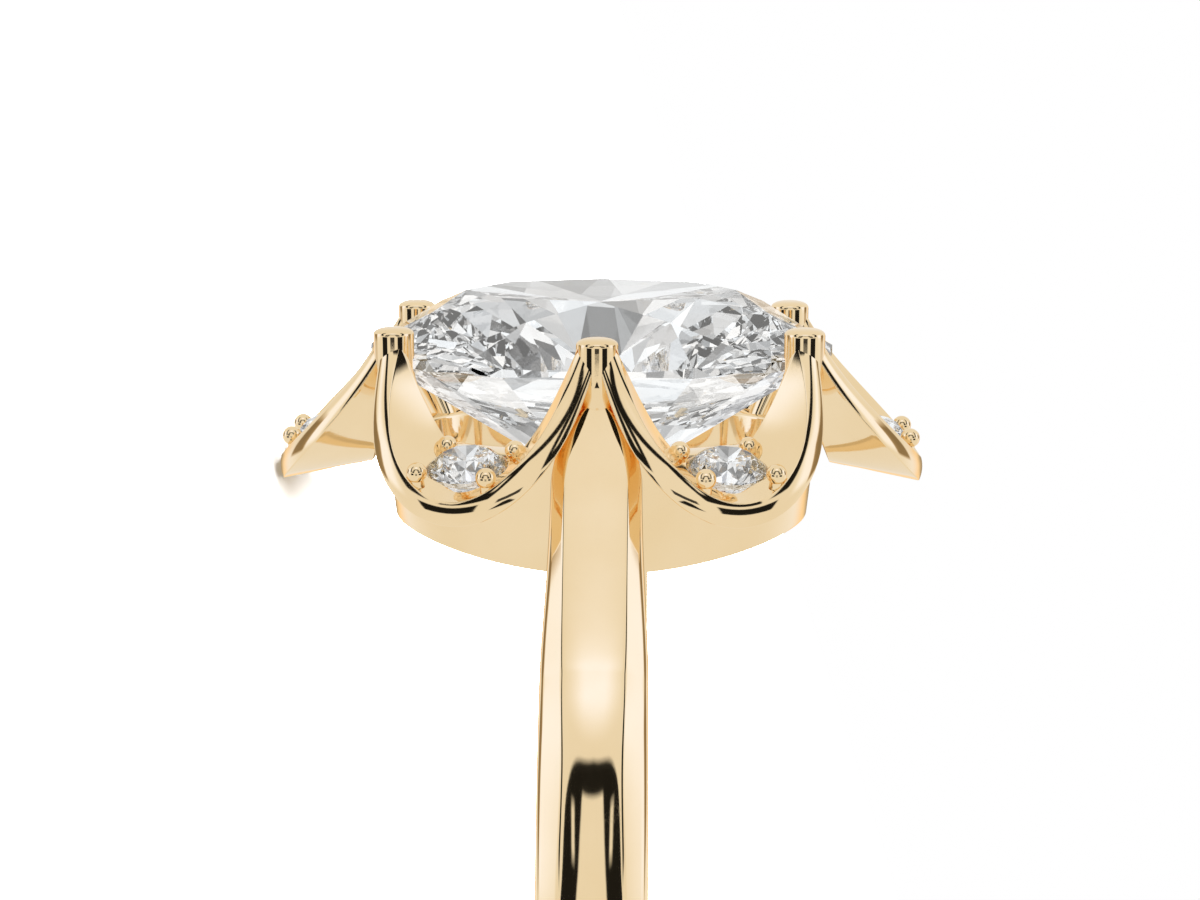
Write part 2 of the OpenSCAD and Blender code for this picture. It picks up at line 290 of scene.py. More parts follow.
# %% [markdown]
# ## Polished gold
# The metal is a warm yellow gold with a high polish. A mirror has no colour of its own to paint, so
# its character lies in how it reflects: a base colour for light that strikes square on, a very low
# roughness that varies where fingers and cloth have been, fine hairlines from polishing, and a slow
# waviness left by the buffing wheel. All patterns read object coordinates, scaled to millimetres.

# %% Start a material
def start_material(name, color):
    """A new material, its empty tree, and the place on the piece in millimetres."""
    material = bpy.data.materials.new(name)
    material.use_nodes = True
    material.diffuse_color = (*color, 1)
    material.node_tree.nodes.clear()
    net = Wire(material.node_tree)
    place = net.node("ShaderNodeTexCoord", None, None, "Object")
    place = net.node("ShaderNodeVectorMath", {"operation": "SCALE"}, {0: place, "Scale": 1 / MM})
    return material, net, place


def noise(place, scale, detail=3.0, rough=0.5):
    sockets = {"Vector": place, "Scale": scale, "Detail": detail, "Roughness": rough}
    return place.node("ShaderNodeTexNoise", None, sockets, "Fac")


def blend(factor, a, b):
    """A colour between two colours."""
    sockets = {"Factor": factor, "A": a, "B": b}
    return factor.node("ShaderNodeMix", {"data_type": "RGBA"}, sockets, 2)


gold, net, place = start_material("polished_gold", (0.9, 0.72, 0.42))
print("started", gold.name)

# %% [markdown]
# A hairline is a long thin mark in one direction. Noise is stretched until only its ridges stay,
# and a second, wide noise leaves them in patches, because a cloth never marks a ring evenly.

# %% The gold
def hairlines(place, turn, stretch, scale, share):
    laid = place.node(
        "ShaderNodeMapping", None, {"Vector": place, "Rotation": turn, "Scale": stretch}
    )
    ridge = absolute(noise(laid, scale, 2.0) - 0.5)
    patchy = noise(place, 0.55, 2.0).remap(0.5, 0.62)
    return ridge.remap(share, 0.0) * patchy


PALE_GOLD, DEEP_GOLD, BEST_POLISH = (0.94, 0.75, 0.475, 1), (0.915, 0.715, 0.43, 1), 0.035
marks = at_least(
    hairlines(place, (0.3, 0.5, 0.2), (0.35, 7.0, 7.0), 1.6, 0.02),
    hairlines(place, (1.1, -0.4, 0.9), (6.0, 0.3, 6.0), 1.4, 0.016),
)
handled = noise(place, 0.32, 4.0, 0.55).remap(0.42, 0.68, soft=True)
grain = noise(place, 16.0, 3.0, 0.6)
tone = blend(noise(place, 0.45, 3.0).remap(0.35, 0.65), DEEP_GOLD, PALE_GOLD)
height = noise(place, 0.7, 2.0) * 0.6 + grain * 0.012 - marks * 0.01
bump = net.node("ShaderNodeBump", None, {"Strength": 0.05, "Distance": 0.1 * MM, "Height": height})
roughness = handled * 0.03 + grain * 0.02 + marks * 0.08 + BEST_POLISH
shader = net.node(
    "ShaderNodeBsdfPrincipled", None,
    {"Base Color": tone, "Metallic": 1.0, "Roughness": roughness, "Normal": bump},
)
net.node("ShaderNodeOutputMaterial", None, {"Surface": shader})
print("gold:", len(gold.node_tree.nodes), "nodes")

# %% [markdown]
# ## Diamond
# A cut diamond is clear glass with a very high index of refraction, so most light that enters
# through the top comes back out through it. Its facets stay those of the solid model, because real
# facets are flat. The polish is nearly perfect: a trace of haze where it was touched is all that
# tells it from an ideal prism. In the gold, many small facets would mirror as a restless pattern, so
# a ray that the gold sends out passes the stones by, and the gold stays calm beside them.

# %% The diamond
DIAMOND_IOR = 2.417
COOL_WHITE, WARM_WHITE = (0.985, 0.99, 1.0, 1), (1.0, 0.995, 0.985, 1)
diamond, net, place = start_material("cut_diamond", (0.9, 0.93, 0.97))
haze = noise(place, 0.9, 4.0, 0.6).remap(0.5, 0.75)
shader = net.node(
    "ShaderNodeBsdfPrincipled", None,
    {
        "Base Color": blend(noise(place, 0.8, 2.0), COOL_WHITE, WARM_WHITE),
        "Roughness": haze * 0.01, "IOR": DIAMOND_IOR, "Transmission Weight": 1.0,
    },
)
rays, clear = net.node("ShaderNodeLightPath"), net.node("ShaderNodeBsdfTransparent")
# Inside a stone a ray has passed its surface before, and then the facets have to turn it
inside = net.node("ShaderNodeMixShader", None, {0: rays.out("Transmission Depth"), 1: clear, 2: shader})
shader = net.node("ShaderNodeMixShader", None, {0: rays.out("Is Glossy Ray"), 1: shader, 2: inside})
net.node("ShaderNodeOutputMaterial", None, {"Surface": shader})
for name, stone in frame["nodes"].items():
    if "stone" in name:
        if not stone.material_slots:
            stone.data.materials.append(diamond)
        stone.material_slots[0].material = diamond
print("diamond on", sum("stone" in name for name in frame["nodes"]), "stones")

# %% [markdown]
# ## The petals
# Six strips with one rule are work for Geometry Nodes. A flat grid is put on six points, each copy
# knowing its number. Its columns become the way round the strip's section and its rows the way from
# post to post, and one Set Position bends all of them by the petal's rule. Every tree here has a
# named input for each size, and ends in plain geometry that wears the material.

# %% Start and end a tree
def start_tree(name, sizes):
    """A geometry tree with a named input for each size and one for the material."""
    tree = bpy.data.node_groups.new(name, "GeometryNodeTree")
    tree.interface.new_socket("Geometry", in_out="INPUT", socket_type="NodeSocketGeometry")
    tree.interface.new_socket("Geometry", in_out="OUTPUT", socket_type="NodeSocketGeometry")
    for size in sizes:
        tree.interface.new_socket(size, in_out="INPUT", socket_type="NodeSocketFloat")
    tree.interface.new_socket("material", in_out="INPUT", socket_type="NodeSocketMaterial")
    return Wire(tree).node("NodeGroupInput")


def end_tree(shape, given):
    """Ends a tree in plain geometry that wears the material."""
    real = shape.node("GeometryNodeRealizeInstances", None, {"Geometry": shape})
    dressed = {"Geometry": real, "Material": given.out("material")}
    real = real.node("GeometryNodeSetMaterial", None, dressed)
    real.node("NodeGroupOutput", None, {"Geometry": real})


given = start_tree("petals", HALO)
halo = {size: given.out(size) for size in HALO}
print("the petals' tree takes", len(halo), "sizes")

# %% [markdown]
# The posts are made in the same way later, and there are as many of them, so the numbered grids and
# the bend are helpers.

# %% Six grids, and how they are bent
def numbered_grids(given, columns, rows):
    """A flat grid for each petal, its number, and the column and row of every point."""
    grid = given.node("GeometryNodeMeshGrid", None, {
        "Size X": float(columns), "Size Y": float(rows), "Vertices X": columns + 1, "Vertices Y": rows + 1,
    })
    points = given.node("GeometryNodePoints", None, {"Count": PETALS})
    points = given.node(
        "GeometryNodeStoreNamedAttribute", {"data_type": "FLOAT", "domain": "POINT"},
        {"Geometry": points, "Name": "number", "Value": given.node("GeometryNodeInputIndex")},
    )
    grids = given.node("GeometryNodeInstanceOnPoints", None, {"Points": points, "Instance": grid})
    grids = given.node("GeometryNodeRealizeInstances", None, {"Geometry": grids})
    number = given.node("GeometryNodeInputNamedAttribute", {"data_type": "FLOAT"}, {"Name": "number"})
    where = given.node("ShaderNodeSeparateXYZ", None, {0: given.node("GeometryNodeInputPosition")})
    return grids, number, where.out("X") + columns / 2, where.out("Y") + rows / 2


def bend_grids(given, grids, x, y, z, merged_below):
    """Moves every point to its place, and closes the seams that this brings together."""
    bent = given.node("ShaderNodeCombineXYZ", None, {"X": x, "Y": y, "Z": z})
    grids = given.node("GeometryNodeSetPosition", None, {"Geometry": grids, "Position": bent})
    grids = given.node("GeometryNodeMergeByDistance", None, {"Geometry": grids, "Distance": merged_below})
    grids = given.node("GeometryNodeRemoveAttribute", None, {"Geometry": grids, "Name": "number"})
    end_tree(grids, given)


EDGE, FACE, ROWS = 24, 12, 64
COLUMNS = 2 * (EDGE + FACE)
grids, number, column, row = numbered_grids(given, COLUMNS, ROWS + 2)
print("a petal's grid:", COLUMNS, "by", ROWS + 2, "fields")

# %% [markdown]
# The section is a strip with two bulging edges. Going up an edge, the surface first faces straight
# down. Then it turns over a small corner, the bulge and a second small corner, until it faces
# straight up. The first and last row shrink to a point, which closes the ends.

# %% Round the section
LEAN_POWER = 0.4
# Up the outer edge, along the face, down the inner edge, and back
step = at_most(column, float(EDGE)) - (column - (EDGE + FACE)).remap(0, EDGE, 0, EDGE)
side = 1 - column.remap(EDGE, EDGE + FACE, 0, 2) + column.remap(2 * EDGE + FACE, COLUMNS, 0, 2)
s = -cosine((row - 1).remap(0, ROWS, 0, math.pi))
full = fullness(s)
thick = mix(halo["end radius"], halo["thickness"], full)
high = mix(90.0, halo["lean at face"], full ** LEAN_POWER)
low = halo["lean at back"] * full
third = EDGE / 3
lean = step.remap(0, third, -90, low) - low + step.remap(third, 2 * third, low, high) - high
lean = lean + step.remap(2 * third, EDGE, high, 90)
held = at_most(at_least(lean, low), high)
crease = halo["crease radius"]
bulge = (thick - crease * 2) / (sin_deg(high) - sin_deg(low))
outer, inner = petal_reach(halo, s)
half = (outer - inner) / 2
is_end = 1 - row.remap(0, 1) * (ROWS + 2 - row).remap(0, 1)
x = side * (half - bulge - crease + bulge * cos_deg(held) + crease * cos_deg(lean)) * (1 - is_end)
y = bulge * (sin_deg(held) - sin_deg(high)) + crease * (sin_deg(lean) - 1)
y = mix(y, thick * -0.5, is_end)
print("nodes so far:", len(given.tree.nodes))

# %% [markdown]
# A modifier runs the tree once. Its sizes are set by each socket's identifier, and its result is
# kept as a plain mesh, because everything after it works on plain meshes.

# %% Grow the petals
def bake(piece):
    """Keeps what the modifiers made, and removes them."""
    shown = piece.evaluated_get(bpy.context.evaluated_depsgraph_get())
    result = bpy.data.meshes.new_from_object(shown)
    piece.modifiers.clear()
    piece.data = result
    return piece


def grow(name, given, sizes, material, base=None):
    """Runs a tree on an object with the given sizes."""
    piece = bpy.data.objects.new(name, base or bpy.data.meshes.new(name))
    bpy.context.scene.collection.objects.link(piece)
    modifier = piece.modifiers.new(name, "NODES")
    modifier.node_group = given.tree
    values = {**sizes, "material": material}
    for socket in given.tree.interface.items_tree:
        if socket.in_out == "INPUT" and socket.name in values:
            modifier[socket.identifier] = values[socket.name]
    return bake(piece)


at, out, up = petal_frame(halo, number, s)
bend_grids(given, grids, *(at[i] + out[i] * x + up[i] * y for i in range(3)), merged_below=1e-5)
petals = grow("petals", given, HALO, gold)
print("petals:", len(petals.data.vertices), "points from", len(given.tree.nodes), "nodes")

# %% [markdown]
# ## Seats under the small stones
# Each small stone hangs in a round hole, drilled square to its petal's face just where the petal is
# lowest. The same rule that bent the petals, now on plain numbers, tells where that is. A hole could
# be part of the grid, but a boolean cuts it as a setter does, with a bur, at any place.

# %% A closed skin, and a cut
def skin(name, rings, material, ring_closed=False):
    """A closed mesh over a row of outlines, with a cap at each end unless the row closes on itself."""
    n, rows = len(rings[0]), len(rings)
    faces = [
        (r * n + i, r * n + (i + 1) % n, (r + 1) % rows * n + (i + 1) % n, (r + 1) % rows * n + i)
        for r in range(rows if ring_closed else rows - 1) for i in range(n)
    ]
    if not ring_closed:
        faces += [tuple(range(n - 1, -1, -1)), tuple(range((rows - 1) * n, rows * n))]
    mesh = bpy.data.meshes.new(name)
    mesh.from_pydata([tuple(p) for ring in rings for p in ring], [], faces)
    mesh.materials.append(material)
    piece = bpy.data.objects.new(name, mesh)
    bpy.context.scene.collection.objects.link(piece)
    return piece


def carve(piece, cutters):
    """Takes the cutters' room out of the piece."""
    for cutter in cutters:
        cut = piece.modifiers.new("seat", "BOOLEAN")
        cut.operation, cut.solver, cut.object = "DIFFERENCE", "EXACT", cutter
    bake(piece)
    for cutter in cutters:
        bpy.data.objects.remove(cutter)
    print(f"{piece.name}: {len(cutters)} cut out")


def oval_ring(height, a, b, sides):
    """A level outline, round or oval."""
    turns = (2 * math.pi * i / sides for i in range(sides))
    return [(a * math.cos(turn), b * math.sin(turn), height) for turn in turns]


print("an oval outline starts at", oval_ring(0.0, 2.0, 1.0, 8)[0])

# %% Drill the seats
SEAT_HOLE_R, DRILL_HEIGHTS = 0.54, (-1.2, 0.3)
# How far out on the face a small stone sits, on the four petals beside the band and on the two end ones
ACCENT_REACH, END_ACCENT_REACH = 0.68, 0.56


def accent_place(k):
    """Matrix from a small stone's own axes to its place on petal k, in the upright drawing."""
    at, out, up = (Vector(v) for v in petal_frame(HALO, float(k), 0.0))
    outer, inner = petal_reach(HALO, 0.0)
    reach = END_ACCENT_REACH if k % 3 == 2 else ACCENT_REACH
    turn = Matrix((out, up.cross(out), up)).transposed().to_4x4()
    return Matrix.Translation(at + out * (reach - (outer + inner) / 2)) @ turn


def drill(k):
    bit = skin(f"bit_{k}", [oval_ring(z, SEAT_HOLE_R, SEAT_HOLE_R, 48) for z in DRILL_HEIGHTS], gold)
    bit.data.transform(accent_place(k))
    return bit


carve(petals, [drill(k) for k in range(PETALS)])

# %% [markdown]
# A finished piece moves from the drawing to its resting place, with its place in its mesh, and
# shades smoothly except at real edges. Its normals are made to point outwards first, and its open
# edges are counted: a solid has none.

# %% Lay the petals on the table
SAME_POINT = 1e-5


def settle(piece, sharp_from):
    """Turns a finished piece into its resting place, hangs it on the root body and hides the imported
    mounting.
    """
    mesh = piece.data
    shape = bmesh.new()
    shape.from_mesh(mesh)
    bmesh.ops.remove_doubles(shape, verts=shape.verts, dist=SAME_POINT)
    bmesh.ops.recalc_face_normals(shape, faces=shape.faces)
    volume = shape.calc_volume(signed=True)
    open_edges = sum(not edge.is_manifold for edge in shape.edges)
    shape.to_mesh(mesh)
    shape.free()
    mesh.transform(TO_REST)
    mesh.shade_smooth()
    mesh.set_sharp_from_angle(angle=math.radians(sharp_from))
    # The stones are drawn clear of the metal behind them
    piece.visible_transmission = False
    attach(piece, "root")
    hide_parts("mounting")
    print(f"{piece.name}: {len(mesh.polygons)} faces, {volume:.2f} mm3, {open_edges} open edges")


settle(petals, 35)

# %% [markdown]
# ## The posts
# Six posts stand on the gallery's wall, lean out from it, and then run straight up beside the
# stone, where the setter rounds their tips. They repeat, so a tree makes them: a grid rolled up
# round each post's axis, with its last rows drawn together into the dome. The dome is a quarter of
# a squarish round, flatter on top than a ball.

# %% The posts' tree
SIDES, SHAFT, CAP = 48, 30, 14
FOOT_SHARE, FOOT_INSIDE, DOME_POWER = 0.62, 0.08, 0.8
POST = {
    "radius": 0.43, "foot height": 9.6, "upright height": 12.1, "top height": 12.96, "dome": 0.17,
    **{size: HALO[size] for size in ("half length", "half width", "side post angle")},
}
given = start_tree("posts", POST)
post = {size: given.out(size) for size in POST}
grids, number, column, row = numbered_grids(given, SIDES, SHAFT + CAP + 1)
up_shaft = (row - 1).remap(0, SHAFT)
arc = (row - 1).remap(SHAFT, SHAFT + CAP, 0, 90)
height = mix(post["foot height"], post["top height"] - post["dome"], up_shaft)
height = height + post["dome"] * at_least(sin_deg(arc), 0.0) ** DOME_POWER
lean = height.remap(post["foot height"], post["upright height"], soft=True)
width = post["radius"] * mix(FOOT_SHARE, 1.0, lean) * at_least(cos_deg(arc), 0.0) ** DOME_POWER
width = width * row.remap(0, 1)
print("posts' tree:", len(given.tree.nodes), "nodes so far")

# %% Stand the posts on the gallery
place = post_angle(post, number)
round_it = column * (360 / SIDES)
foot_a, foot_b = (half - GALLERY_T / 2 - FOOT_INSIDE for half in (GALLERY_A, GALLERY_B))
bend_grids(
    given, grids,
    mix(foot_a, post["half length"], lean) * cos_deg(place) + width * cos_deg(round_it),
    mix(foot_b, post["half width"], lean) * sin_deg(place) + width * sin_deg(round_it),
    height, merged_below=1e-4,
)
posts = grow("claw_posts", given, POST, gold)
print("posts:", len(posts.data.vertices), "points")

# %% [markdown]
# ## The stone's seat
# The oval stone's edge sits in a notch on the inner side of every post. A slightly larger copy of
# the stone's outline cuts all six notches at once, as the setting bur does.

# %% Cut the seat
SEAT_ROOM = 0.03
# The stone's outline: height over its widest line, and share of its size
SEAT_OUTLINE = ((-1.9, 0.45), (-0.22, 1), (0.02, 1), (1.21, 0.58))
seat = skin("seat", [
    oval_ring(GIRDLE_Z + height, STONE_HALF_L * share + SEAT_ROOM, STONE_HALF_W * share + SEAT_ROOM, 72)
    for height, share in SEAT_OUTLINE
], gold)
carve(posts, [seat])
settle(posts, 35)

# %% [markdown]
# ## Beads
# A bead is a ball of gold on a short neck, raised beside the small stone and pressed against its
# edge. Twenty-four of them are alike, so the tree makes one and stands a copy on every point of a
# small cloud that carries the direction to stand in.

# %% Where the beads stand
BEAD_REACH = 1.08
standing, upward = [], []
for k in range(PETALS):
    on_petal = accent_place(k)
    for i in range(4):
        a = math.radians(45 + 90 * i)
        standing.append(tuple(on_petal @ Vector((BEAD_REACH * math.cos(a), BEAD_REACH * math.sin(a), 0))))
        upward.append(tuple(on_petal.to_3x3() @ Vector((0, 0, 1))))
cloud = bpy.data.meshes.new("bead_places")
cloud.from_pydata(standing, [], [])
direction = cloud.attributes.new("upward", "FLOAT_VECTOR", "POINT")
for entry, value in zip(direction.data, upward):
    entry.vector = value
print(len(standing), "beads, the first at", [round(x, 2) for x in standing[0]])

# %% The beads' tree
BEAD = {"ball radius": 0.21, "ball height": 0.46, "neck radius": 0.126}
NECK_SUNK, NECK_SPREAD = 0.2, 1.25
given = start_tree("beads", BEAD)
bead = {size: given.out(size) for size in BEAD}
ball = given.node(
    "GeometryNodeMeshUVSphere", None, {"Segments": 32, "Rings": 20, "Radius": bead["ball radius"]}
)
lifted = given.node("ShaderNodeCombineXYZ", None, {"Z": bead["ball height"]})
ball = given.node("GeometryNodeTransform", None, {"Geometry": ball, "Translation": lifted})
neck = given.node("GeometryNodeMeshCone", None, {
    "Vertices": 24, "Radius Top": bead["neck radius"], "Radius Bottom": bead["neck radius"] * NECK_SPREAD,
    "Depth": bead["ball height"] + NECK_SUNK,
})
sunk = given.node("ShaderNodeCombineXYZ", None, {"Z": -NECK_SUNK})
neck = given.node("GeometryNodeTransform", None, {"Geometry": neck, "Translation": sunk})
joined = given.node("GeometryNodeJoinGeometry", None, {"Geometry": ball})
given.tree.links.new(neck.socket, joined.socket.node.inputs[0])
up = given.node("GeometryNodeInputNamedAttribute", {"data_type": "FLOAT_VECTOR"}, {"Name": "upward"})
stand = given.node("FunctionNodeAlignRotationToVector", {"axis": "Z"}, {"Vector": up})
copies = {"Points": given, "Instance": joined, "Rotation": stand}
end_tree(given.node("GeometryNodeInstanceOnPoints", None, copies), given)
settle(grow("beads", given, BEAD, gold, cloud), 50)

# %% [markdown]
# ## The gallery
# Under the halo runs an oval wall that carries everything above. Its lower edge is cut by the
# finger hole, so it rises and falls with it, and the wall leans in a little as it goes down. A row
# of sections round the oval closes on itself. As a mirror image, the shaded wall would turn every
# petal above it orange, so reflections leave it out.

# %% An outline with softened corners
def soften(corners, steps=4):
    """Each corner, given as x, y and size, is drawn as a small curve. One of no size stays a point."""
    made = []
    for i, (x, y, size) in enumerate(corners):
        here = Vector((x, y))
        if not size:
            made.append(here)
            continue
        ends = []
        for other in (corners[i - 1], corners[(i + 1) % len(corners)]):
            way = Vector(other[:2]) - here
            # Two neighbouring curves may not meet
            ends.append(here + way.normalized() * min(size, way.length * 0.48))
        for j in range(steps + 1):
            t = j / steps
            made.append(ends[0] * (1 - t) ** 2 + here * (2 * t * (1 - t)) + ends[1] * t * t)
    return made


print("a softened triangle has", len(soften([(0, 0, 0.1), (1, 0, 0.1), (0, 1, 0)])), "points")

# %% The gallery's wall
LEAN_IN, WALL_EDGE, OVER_BORE, SECTIONS = 0.11, 0.07, 0.012, 160


def gallery_section(angle):
    c, s = math.cos(angle), math.sin(angle)
    out = Vector((GALLERY_A * c, GALLERY_B * s))
    inner = Vector(((GALLERY_A - GALLERY_T) * c, (GALLERY_B - GALLERY_T) * s))
    # Across the wall from 0 to 1, and up in millimetres
    low_out, low_in = (math.sqrt(BORE_R**2 - p.y**2) + OVER_BORE for p in (out, inner))
    corners = [(0, low_out), (0, GALLERY_TOP), (1, GALLERY_TOP), (1, low_in)]
    ring = []
    for p in soften([(*corner, WALL_EDGE) for corner in corners]):
        flat = out.lerp(inner, p.x)
        ring.append((*(flat - flat.normalized() * LEAN_IN * (GALLERY_TOP - p.y)), p.y))
    return ring


around = [gallery_section(2 * math.pi * i / SECTIONS) for i in range(SECTIONS)]
gallery = skin("gallery", around, gold, ring_closed=True)
settle(gallery, 35)
gallery.visible_glossy = False

# %% [markdown]
# ## The band and its shoulders
# The band is one forging: seen from the front it starts in a pointed arch between two petals and runs
# down as a face between two bevels. The face is nearly flat at the shoulder and well crowned further
# down, where it breaks the reflections into dark and light stripes. It could be a swept curve, but
# its section changes all the way, so it is a skin over sections: each stands on the finger hole and
# reaches to the outer line. How the section changes is given at a few stops, with a smooth curve
# through them, because a mirror shows every kink.

# %% A smooth curve through a few stops
def between(stops, at):
    """A value read off a list of (place, value) on a smooth curve through them."""
    if at <= stops[0][0]:
        return stops[0][1]
    for i, ((a, low), (b, high)) in enumerate(zip(stops, stops[1:])):
        if at <= b:
            rise = (high - low) / (b - a)
            before = (low - stops[i - 1][1]) / (a - stops[i - 1][0]) if i else 0
            after = (stops[i + 2][1] - high) / (stops[i + 2][0] - b) if i + 2 < len(stops) else 0
            # The slope at a stop is the gentler of its two neighbours', and level at a turning point
            ends = [
                min(abs(rise), abs(x)) * math.copysign(1, rise) if x * rise > 0 else 0
                for x in (before, after)
            ]
            t = (at - a) / (b - a)
            return (
                low * (1 + 2 * t) * (1 - t) ** 2 + high * t * t * (3 - 2 * t)
                + (b - a) * (ends[0] * t * (1 - t) ** 2 - ends[1] * t * t * (1 - t))
            )
    return stops[-1][1]


# By the angle from the top of the ring: the face's half width, its crown, and the bevel's drop
FACE_HALF = [(46, 0.615), (57, 0.565), (72, 0.63)]
FACE_CROWN = [(30, 0.022), (46, 0.055), (58, 0.08), (70, 0.13), (80, 0.14)]
BEVEL_DROP = [(46, 0.4), (70, 0.47)]
print("the crown at 50, 60 and 70 degrees:", [round(between(FACE_CROWN, a), 3) for a in (50, 60, 70)])

# %% One section
FACE_STEPS, CORNER_STEPS = 16, 7


def band_ring(inner, outer, half, face, crown, drop):
    """A section from a point on the finger hole to one on the outer line, both as (y, z)."""
    inner, outer = Vector(inner), Vector(outer)
    up = (outer - inner).normalized()
    depth = (outer - inner).length
    # Across and up: the crowned face, the bevel, the side and the inside
    steps = (i / FACE_STEPS for i in range(1, FACE_STEPS - 1))
    right = [(face * t, depth - crown * t * t, 0) for t in steps]
    right += [
        (face, depth - crown, 0.06 * half), (half, depth - drop, 0.16 * half), (half, 0, 0.08 * half),
    ]
    left = [(-x, y, size) for x, y, size in reversed(right)]
    return [(p.x, *(inner + up * p.y)) for p in soften([(0, depth, 0), *right, *left], CORNER_STEPS)]


def round_part(angle):
    """The section at an angle from the top of the ring, towards +Y."""
    a = math.radians(angle)
    down = min(angle, 360 - angle)
    way = Vector((math.sin(a), math.cos(a)))
    face, crown, drop = (between(stops, down) for stops in (FACE_HALF, FACE_CROWN, BEVEL_DROP))
    return band_ring(way * BORE_R, way * SHANK_R, SHANK_HALF, face, crown, drop)


print("a section has", len(round_part(90)), "points")

# %% [markdown]
# The shoulder leaves the round on one smooth curve and rises to the post. Inside, it first follows
# the finger hole and then goes straight up beside the gallery. Its bevels grow narrow towards the
# head, then face and bevels draw together in the arch.

# %% The shoulders
SHOULDER_ANGLE, SHOULDER_IN, SHOULDER_ARCH_Z = 46.0, 3.01, 10.2
SHOULDER_LINE = ((6.71, 7.45), (5.02, 9.93), (4.0, 11.65))
# By the way up the shoulder, from 0 to 1
SHOULDER_HALF, SHOULDER_CROWN = [(0, SHANK_HALF), (0.75, 0.93)], [(0, 0.055), (0.6, 0.022)]
SHOULDER_FACE, SHOULDER_DROP = (0.615, 0.66), (0.4, 0.3)
INNER_LEAN = [(10.2, 0), (11.65, 0.6)]
ARCH_POWER, ARCH_TIP = 1.5, 0.0012


def shoulder_part(t, side):
    """The section at t from where the shoulder leaves the round, at 0, to the tip of its arch, at 1."""
    a = math.radians(SHOULDER_ANGLE)
    start = Vector((SHANK_R * math.sin(a), SHANK_R * math.cos(a)))
    line = [start, *(Vector(p) for p in SHOULDER_LINE)]
    shares = ((1 - t) ** 3, 3 * t * (1 - t) ** 2, 3 * t * t * (1 - t), t**3)
    outer = sum((p * w for p, w in zip(line, shares)), Vector((0, 0)))
    tip_z, corner = line[3].y, math.asin(SHOULDER_IN / BORE_R)
    if t < 0.5:
        b = math.radians(mix(SHOULDER_ANGLE, math.degrees(corner), 2 * t))
        inner = Vector((BORE_R * math.sin(b), BORE_R * math.cos(b)))
    else:
        z = mix(BORE_R * math.cos(corner), tip_z - 0.02, 2 * t - 1)
        inner = Vector((SHOULDER_IN + between(INNER_LEAN, z), z))
    rise = max(outer.y - SHOULDER_ARCH_Z, 0) / (tip_z - SHOULDER_ARCH_Z)
    arch = math.sqrt(max(1 - rise**ARCH_POWER, ARCH_TIP))
    sizes = (
        between(SHOULDER_HALF, t), mix(*SHOULDER_FACE, t), between(SHOULDER_CROWN, t),
        mix(*SHOULDER_DROP, t),
    )
    ring = band_ring(inner, outer, *(size * arch for size in sizes))
    return [(x, side * y, z) for x, y, z in ring]


tip = shoulder_part(1, 1)
print("the arch ends", round(max(p[2] for p in tip), 2), "mm above the middle of the finger hole")

# %% Join the shoulders and the round
SHOULDER_STEPS, ROUND_STEPS = 56, 268
rise_steps = [math.sin(math.pi / 2 * i / SHOULDER_STEPS) for i in range(SHOULDER_STEPS + 1)]
round_turn = 360 - 2 * SHOULDER_ANGLE
rings = [shoulder_part(t, 1) for t in reversed(rise_steps)]
rings += [round_part(SHOULDER_ANGLE + i * round_turn / ROUND_STEPS) for i in range(1, ROUND_STEPS)]
rings += [shoulder_part(t, -1) for t in rise_steps]
settle(skin("shank_and_shoulders", rings, gold), 50)

# %% [markdown]
# ## Floor
# A plain pale sheet just under the ring, far larger than it, so that no edge shows. The ring's
# mirror is meant to show the tent alone, so reflections leave the sheet out.

# %% The floor
FLOOR_HALF, FLOOR_GAP = 1.5, 0.01 * MM
floor_z = solid_box[0].z - FLOOR_GAP
corners = [(x * FLOOR_HALF, y * FLOOR_HALF, floor_z) for x, y in ((-1, -1), (1, -1), (1, 1), (-1, 1))]
sheet = bpy.data.meshes.new("floor")
sheet.from_pydata(corners, [], [(0, 1, 2, 3)])
paper, net, place = start_material("pale_paper", (0.9, 0.9, 0.9))
tone = blend(noise(place, 0.08, 3.0), (0.9, 0.9, 0.9, 1), (0.93, 0.93, 0.925, 1))
fibre = {"Strength": 0.03, "Distance": 0.1 * MM, "Height": noise(place, 3.0, 4.0)}
shader = net.node("ShaderNodeBsdfPrincipled", None, {
    "Base Color": tone, "Roughness": noise(place, 1.0) * 0.1 + 0.7,
    "Normal": net.node("ShaderNodeBump", None, fibre),
})
net.node("ShaderNodeOutputMaterial", None, {"Surface": shader})
sheet.materials.append(paper)
floor = bpy.data.objects.new("floor", sheet)
bpy.context.scene.collection.objects.link(floor)
floor.visible_glossy = floor.visible_transmission = False
print(f"floor {floor_z / MM:.2f} mm from the middle of the finger hole")

# %% [markdown]
# ## Light
# Polished metal shows the room, so the room is half of the picture. A jewellery tent is bright all
# round, with a soft lamp above the front and a window at each side. The world shader paints that
# tent from the direction of a ray alone, in the upright ring's own axes: how many degrees it looks
# above the level, and how many aside from straight in front, to the left or the right alike.

# %% Which way a ray looks
world = bpy.data.worlds.new("tent")
bpy.context.scene.world = world
world.use_nodes = True
world.node_tree.nodes.clear()
net = Wire(world.node_tree)
way = net.node("ShaderNodeTexCoord", None, None, "Generated")
right, back, top = (
    net.node("ShaderNodeVectorMath", {"operation": "DOT_PRODUCT"}, {0: way, 1: tuple(axis)}, "Value")
    for axis in (finger, away, finger.cross(away))
)
above = at_most(at_least(top, -1.0), 1.0).math("ARCSINE") * (180 / math.pi)
aside = absolute(right.math("ARCTAN2", back * -1) * (180 / math.pi))


def patch(value, middle, half, edge=(-1, 1), soft=False):
    """1 while the value is less than `half` away from `middle`, falling to 0 across the edge."""
    return (half - absolute(value - middle)).remap(*edge, soft=soft)


print("directions:", len(world.node_tree.nodes), "nodes")

